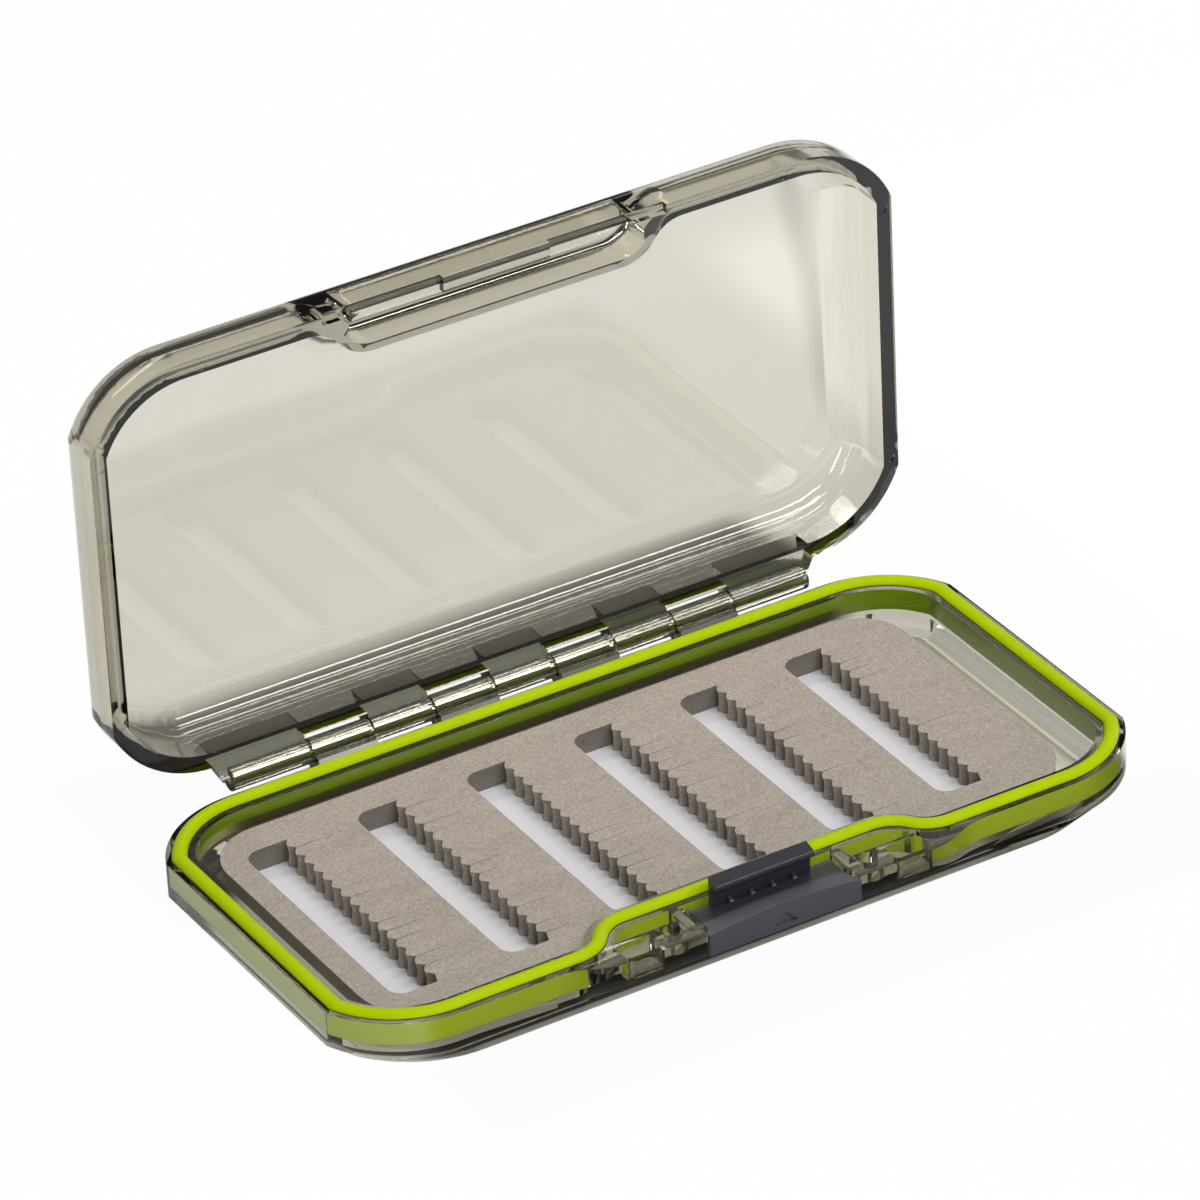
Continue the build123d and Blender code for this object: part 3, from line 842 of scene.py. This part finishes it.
def shade_cuts(bm, foam):
    """Mark the painted shade at each corner of a cut wall: on the saw teeth it runs from 0 at a
    tooth's tip to 1 at its root, and the other walls along the slots take 1.
    """
    cut_wall_shade = bm.loops.layers.float.new("cut_wall_shade")
    tip = foam.slot_width - foam.tooth_depth
    for face in bm.faces:
        middle = face.calc_center_median()
        if abs(face.normal.z) > 0.5 or abs(middle.y) > foam.slot_half + 0.3 * MM:
            continue
        for loop in face.loops:
            across = (loop.vert.co.x - FOAM_LOW.x - foam.slot_first) % foam.slot_pitch
            if face.normal.x < -0.3:
                loop[cut_wall_shade] = min(max((across - tip) / foam.tooth_depth, 0.0), 1.0)
            else:
                loop[cut_wall_shade] = 1.0


class FLYBOX_OT_insert(Operator):
    """Cut the foam insert with its saw-edged slots, and lay it on its white sheet"""
    bl_idname = "flybox.insert"
    bl_label = "Foam Insert"

    def execute(self, context):
        scene = context.scene
        case, seal, foam = scene.flybox_case, scene.flybox_seal, scene.flybox_foam
        dice = random.Random(SEED)
        bm = bmesh.new()
        edges = insert_outline(bm, case, seal, foam, FOAM_LOW.z)
        for index in range(foam.slots):
            left = FOAM_LOW.x + foam.slot_first + index * foam.slot_pitch
            edges += slot_outline(bm, foam, left, FOAM_LOW.z, dice)
        raise_slab(bm, edges, FOAM_HIGH.z - FOAM_LOW.z)
        bow_walls(bm, foam)
        shade_cuts(bm, foam)
        mesh = finished_mesh(bm, "slotted_foam", math.radians(50))
        piece = new_piece(
            "slotted_foam", mesh, slot_foam(foam), "base", "foam", "foam_insert")
        low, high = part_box("foam_backing")
        bm = bmesh.new()
        raise_slab(bm, insert_outline(bm, case, seal, foam, low.z), high.z - low.z)
        mesh = finished_mesh(bm, "white_sheet", math.radians(50))
        new_piece(
            "white_sheet", mesh, backing_paper(foam), "base", "white_sheet", "foam_backing")
        return {"FINISHED"}


class FLYBOX_OT_latch(Operator):
    """Soften the push latch's moulded edges"""
    bl_idname = "flybox.latch"
    bl_label = "Push Latch"

    def execute(self, context):
        latch = context.scene.flybox_latch
        mesh = merged_copy("push_latch", math.radians(30))
        piece = new_piece(
            "latch_piece", mesh, latch_moulding(latch), "latch", "latch_grey", "push_latch")
        soften_edges(piece, latch.edge_round, 3)
        return {"FINISHED"}


class FLYBOX_OT_rod(Operator):
    """Turn the hinge rod with chamfered ends"""
    bl_idname = "flybox.rod"
    bl_label = "Hinge Rod"

    def execute(self, context):
        latch = context.scene.flybox_latch
        low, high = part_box("hinge_rod")
        radius = (high.z - low.z) / 2
        length = high.x - low.x
        bm = bmesh.new()
        bmesh.ops.create_cone(
            bm, cap_ends=True, segments=48, radius1=radius, radius2=radius, depth=length)
        rims = [
            e for e in bm.edges if abs(e.verts[0].co.z - e.verts[1].co.z) < SAME_LEVEL]
        bmesh.ops.bevel(
            bm, geom=rims, offset=0.2 * MM, segments=2, profile=0.5, affect="EDGES",
            material=-1)
        lengthways = Matrix.Rotation(QUARTER, 3, "Y")
        bmesh.ops.rotate(bm, verts=bm.verts, cent=(0, 0, 0), matrix=lengthways)
        bmesh.ops.translate(bm, verts=bm.verts, vec=(low + high) / 2)
        mesh = finished_mesh(bm, "hinge_pin", math.radians(30))
        new_piece("hinge_pin", mesh, drawn_steel(latch), "base", "rod_steel", "hinge_rod")
        return {"FINISHED"}


def lay_paper(studio):
    """Lay the sheet of paper that the box stands on."""
    bm = bmesh.new()
    bmesh.ops.create_grid(bm, x_segments=8, y_segments=8, size=1.6)
    mesh = finished_mesh(bm, "paper_floor", math.radians(30))
    floor = bpy.data.objects.new("paper_floor", mesh)
    bpy.context.scene.collection.objects.link(floor)
    mesh.materials.append(paper_sweep(studio))


def softbox(name, place, target, width, height, power):
    """Hang a flat rectangular lamp that faces its target."""
    lamp = bpy.data.lights.new(name, "AREA")
    lamp.shape = "RECTANGLE"
    lamp.size, lamp.size_y = width, height
    lamp.energy = power
    holder = bpy.data.objects.new(name, lamp)
    bpy.context.scene.collection.objects.link(holder)
    holder.location = place
    facing = Vector(target) - Vector(place)
    holder.rotation_euler = facing.to_track_quat("-Z", "Y").to_euler()


def light_room(strength):
    """A dim room for the light that the set meets, and a white one behind it."""
    world = bpy.data.worlds.new("room")
    world.use_nodes = True
    tree = world.node_tree
    dim = tree.nodes["Background"]
    dim.inputs["Strength"].default_value = strength
    dim.inputs["Color"].default_value = (1, 1, 1, 1)
    white = tree.nodes.new("ShaderNodeBackground")
    white.inputs["Color"].default_value = (1, 1, 1, 1)
    seen = tree.nodes.new("ShaderNodeLightPath")
    both = tree.nodes.new("ShaderNodeMixShader")
    tree.links.new(seen.outputs["Is Camera Ray"], both.inputs["Fac"])
    tree.links.new(dim.outputs["Background"], both.inputs[1])
    tree.links.new(white.outputs["Background"], both.inputs[2])
    tree.links.new(both.outputs["Shader"], tree.nodes["World Output"].inputs["Surface"])
    bpy.context.scene.world = world


def place_camera(studio):
    """Set up the camera from its place and its three angles."""
    scene = bpy.context.scene
    lens = bpy.data.cameras.new("camera")
    lens.lens = studio.lens
    lens.sensor_width = 36
    lens.clip_start, lens.clip_end = 0.05, 20
    camera = bpy.data.objects.new("camera", lens)
    scene.collection.objects.link(camera)
    azimuth, elevation, roll = studio.azimuth, studio.elevation, studio.roll
    back = Vector((
        math.sin(azimuth) * math.cos(elevation), -math.cos(azimuth) * math.cos(elevation),
        math.sin(elevation)))
    level = Vector((math.cos(azimuth), math.sin(azimuth), 0))
    upright = back.cross(level)
    across = level * math.cos(roll) + upright * math.sin(roll)
    above = upright * math.cos(roll) - level * math.sin(roll)
    turned = Matrix((across, above, back)).transposed().to_4x4()
    camera.matrix_world = Matrix.Translation(studio.place) @ turned
    scene.camera = camera


class FLYBOX_OT_studio(Operator):
    """Set the camera, the paper floor and the soft lights"""
    bl_idname = "flybox.studio"
    bl_label = "Studio"

    def execute(self, context):
        scene = context.scene
        studio = scene.flybox_studio
        lay_paper(studio)
        for name, place, target, width, height, power, share in LAMPS:
            softbox(name, place, target, width, height, getattr(studio, power) * share)
        light_room(studio.room)
        place_camera(studio)
        scene.view_settings.view_transform = "Standard"
        # The clear walls are many, so light passes through more of them than by default
        scene.cycles.max_bounces = 24
        scene.cycles.transmission_bounces = 24
        scene.cycles.transparent_max_bounces = 24
        scene.cycles.glossy_bounces = 8
        scene.cycles.sample_clamp_indirect = 24.0
        return {"FINISHED"}


# ---------------------------------------------------------------- panel

SETTINGS = (
    ("flybox_case", CaseSettings),
    ("flybox_seal", SealSettings),
    ("flybox_foam", FoamSettings),
    ("flybox_latch", LatchSettings),
    ("flybox_studio", StudioSettings),
)
OPERATORS = (
    FLYBOX_OT_shells, FLYBOX_OT_seal, FLYBOX_OT_insert, FLYBOX_OT_latch, FLYBOX_OT_rod,
    FLYBOX_OT_studio,
)


class FLYBOX_PT_sidebar(Panel):
    """Pieces of the fly box, in the order they are made"""
    bl_idname = "FLYBOX_PT_sidebar"
    bl_label = "Fly Box"
    bl_space_type = "VIEW_3D"
    bl_region_type = "UI"
    bl_category = "Fly Box"

    def draw(self, context):
        for operator in OPERATORS:
            self.layout.operator(operator.bl_idname)
        for name, settings in SETTINGS:
            box = self.layout.box()
            box.label(text=settings.__name__.replace("Settings", ""))
            for key in settings.__annotations__:
                box.prop(getattr(context.scene, name), key)


def register():
    for _, settings in SETTINGS:
        bpy.utils.register_class(settings)
    for operator in OPERATORS:
        bpy.utils.register_class(operator)
    bpy.utils.register_class(FLYBOX_PT_sidebar)
    for name, settings in SETTINGS:
        setattr(bpy.types.Scene, name, PointerProperty(type=settings))


def unregister():
    for name, _ in reversed(SETTINGS):
        delattr(bpy.types.Scene, name)
    bpy.utils.unregister_class(FLYBOX_PT_sidebar)
    for operator in reversed(OPERATORS):
        bpy.utils.unregister_class(operator)
    for _, settings in reversed(SETTINGS):
        bpy.utils.unregister_class(settings)


def main():
    register()
    bpy.ops.flybox.shells()
    bpy.ops.flybox.seal()
    bpy.ops.flybox.insert()
    bpy.ops.flybox.latch()
    bpy.ops.flybox.rod()
    bpy.ops.flybox.studio()


if __name__ == "__main__":
    main()
